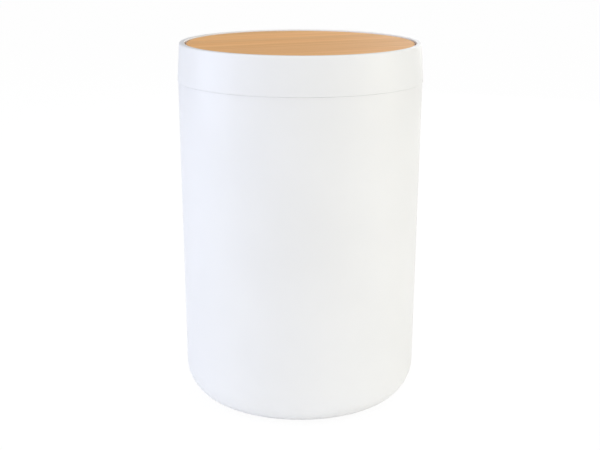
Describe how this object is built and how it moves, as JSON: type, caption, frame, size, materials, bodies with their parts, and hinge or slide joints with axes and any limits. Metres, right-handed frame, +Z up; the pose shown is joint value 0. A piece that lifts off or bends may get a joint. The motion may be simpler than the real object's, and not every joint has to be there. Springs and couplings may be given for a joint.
{
  "type": "swing-lid bin",
  "caption": "Tall round tapered plastic bin with a plug-in collar ring and a flush round bamboo lid that swings on a pivot across its middle.",
  "frame": {"origin": "bottom centre of the bin, on the surface that it stands on", "axes": "+Z up along the bin's own axis, X along the lid's swing axis, -Y the front"},
  "size_m": [0.1862, 0.1862, 0.28],
  "materials": {
    "tub_plastic": "satin white moulded plastic",
    "collar_plastic": "satin white moulded plastic",
    "carrier_plastic": "satin white moulded plastic",
    "bush_plastic": "natural acetal",
    "pad_rubber": "pale grey soft rubber",
    "bamboo": "sanded bamboo with a clear matt coat",
    "pin_steel": "ground steel",
    "weight_steel": "sawn and zinc plated bar",
    "screw_steel": "zinc plated"
  },
  "bodies": {
    "bin": {"bin_body": "tub_plastic", "foot_pad_1": "pad_rubber", "foot_pad_2": "pad_rubber", "foot_pad_3": "pad_rubber", "foot_pad_4": "pad_rubber"},
    "collar": {"collar_ring": "collar_plastic", "pivot_bush_left": "bush_plastic", "pivot_bush_right": "bush_plastic"},
    "lid": {"lid_panel": "bamboo", "lid_carrier": "carrier_plastic", "pivot_pin_left": "pin_steel", "pivot_pin_right": "pin_steel", "counterweight": "weight_steel", "counterweight_cover": "carrier_plastic", "cover_screw_left": "screw_steel", "cover_screw_right": "screw_steel", "lid_screw_1": "screw_steel", "lid_screw_2": "screw_steel", "lid_screw_3": "screw_steel", "lid_screw_4": "screw_steel", "lid_screw_5": "screw_steel", "lid_screw_6": "screw_steel"}
  },
  "joints": [
    {"name": "collar_lift", "type": "slide", "parent": "bin", "child": "collar", "axis": [0, 0, 1], "range_m": [0, 0.09]},
    {"name": "lid_swing", "type": "hinge", "parent": "collar", "child": "lid", "pos_m": [0, 0, 0.2684], "axis": [1, 0, 0], "range_deg": [-80, 80]}
  ]
}
